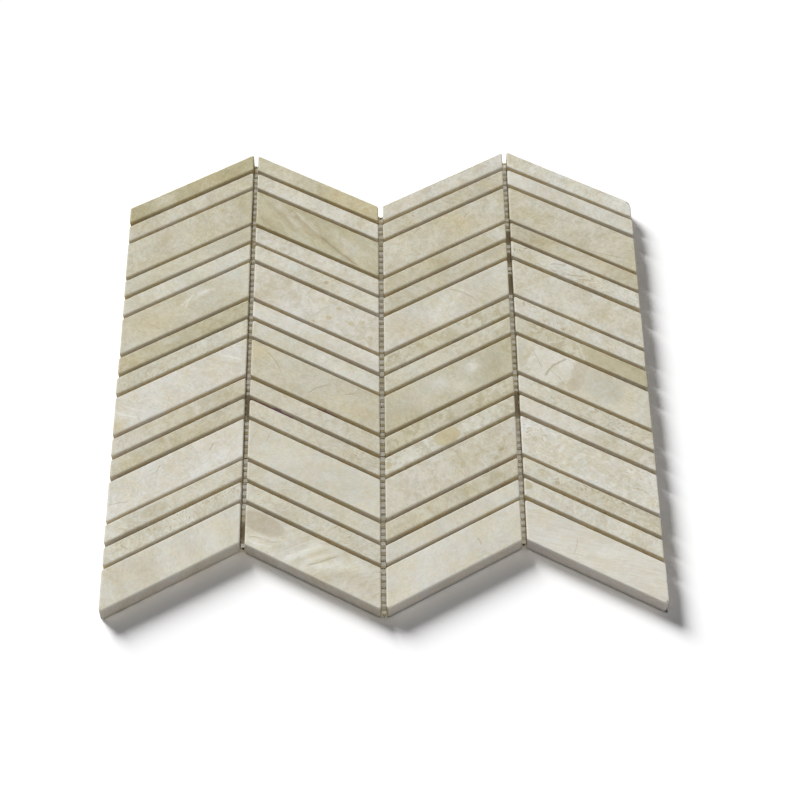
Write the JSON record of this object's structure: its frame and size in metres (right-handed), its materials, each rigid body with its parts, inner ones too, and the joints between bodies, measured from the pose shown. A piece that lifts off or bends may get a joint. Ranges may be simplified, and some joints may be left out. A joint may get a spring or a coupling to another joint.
{
  "type": "chevron mosaic tile sheet",
  "caption": "Flat sheet of beige marble strips, wide and narrow, laid as a chevron with open joints on a glass-fibre net, for facing walls.",
  "frame": {"origin": "on the ground under the middle of the sheet's box, in the plane of the net's back", "axes": "+X across the columns, +Y along the columns towards the chevrons' peaks, +Z out of the polished face"},
  "size_m": [0.2816, 0.303, 0.009],
  "materials": {
    "marble": "honed beige marble",
    "net": "open glass-fibre net with glue"
  },
  "bodies": {
    "root": {"narrow_pair_c1_r1": "marble", "narrow_pair_c1_r2": "marble", "narrow_pair_c1_r3": "marble", "narrow_pair_c1_r4": "marble", "narrow_pair_c1_r5": "marble", "narrow_pair_c2_r1": "marble", "narrow_pair_c2_r2": "marble", "narrow_pair_c2_r3": "marble", "narrow_pair_c2_r4": "marble", "narrow_pair_c2_r5": "marble", "narrow_pair_c3_r1": "marble", "narrow_pair_c3_r2": "marble", "narrow_pair_c3_r3": "marble", "narrow_pair_c3_r4": "marble", "narrow_pair_c3_r5": "marble", "narrow_pair_c4_r1": "marble", "narrow_pair_c4_r2": "marble", "narrow_pair_c4_r3": "marble", "narrow_pair_c4_r4": "marble", "narrow_pair_c4_r5": "marble", "wide_tile_c1_r1": "marble", "wide_tile_c1_r2": "marble", "wide_tile_c1_r3": "marble", "wide_tile_c1_r4": "marble", "wide_tile_c1_r5": "marble", "wide_tile_c2_r1": "marble", "wide_tile_c2_r2": "marble", "wide_tile_c2_r3": "marble", "wide_tile_c2_r4": "marble", "wide_tile_c2_r5": "marble", "wide_tile_c3_r1": "marble", "wide_tile_c3_r2": "marble", "wide_tile_c3_r3": "marble", "wide_tile_c3_r4": "marble", "wide_tile_c3_r5": "marble", "wide_tile_c4_r1": "marble", "wide_tile_c4_r2": "marble", "wide_tile_c4_r3": "marble", "wide_tile_c4_r4": "marble", "wide_tile_c4_r5": "marble", "backing_net": "net"}
  },
  "joints": []
}
